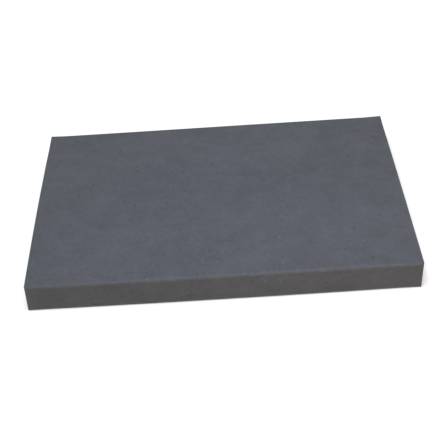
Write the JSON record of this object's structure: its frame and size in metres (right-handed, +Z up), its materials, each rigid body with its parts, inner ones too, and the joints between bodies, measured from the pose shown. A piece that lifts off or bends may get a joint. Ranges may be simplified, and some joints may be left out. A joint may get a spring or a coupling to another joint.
{
  "type": "foot bath foam insert",
  "caption": "Rectangular slab of soft charcoal open-cell foam that lies in a foot bath's tray, holds the disinfectant and wets the soles pressed on it.",
  "frame": {"origin": "middle of the underside, the face that lies in the bath's tray", "axes": "+X along the slab's length, +Y across its width, +Z up through its thickness to the tread face"},
  "size_m": [0.6, 0.4, 0.05],
  "materials": {
    "charcoal_foam": "knife-cut open-cell polyurethane foam, charcoal, matte"
  },
  "bodies": {
    "root": {"foam_slab": "charcoal_foam"}
  },
  "joints": []
}
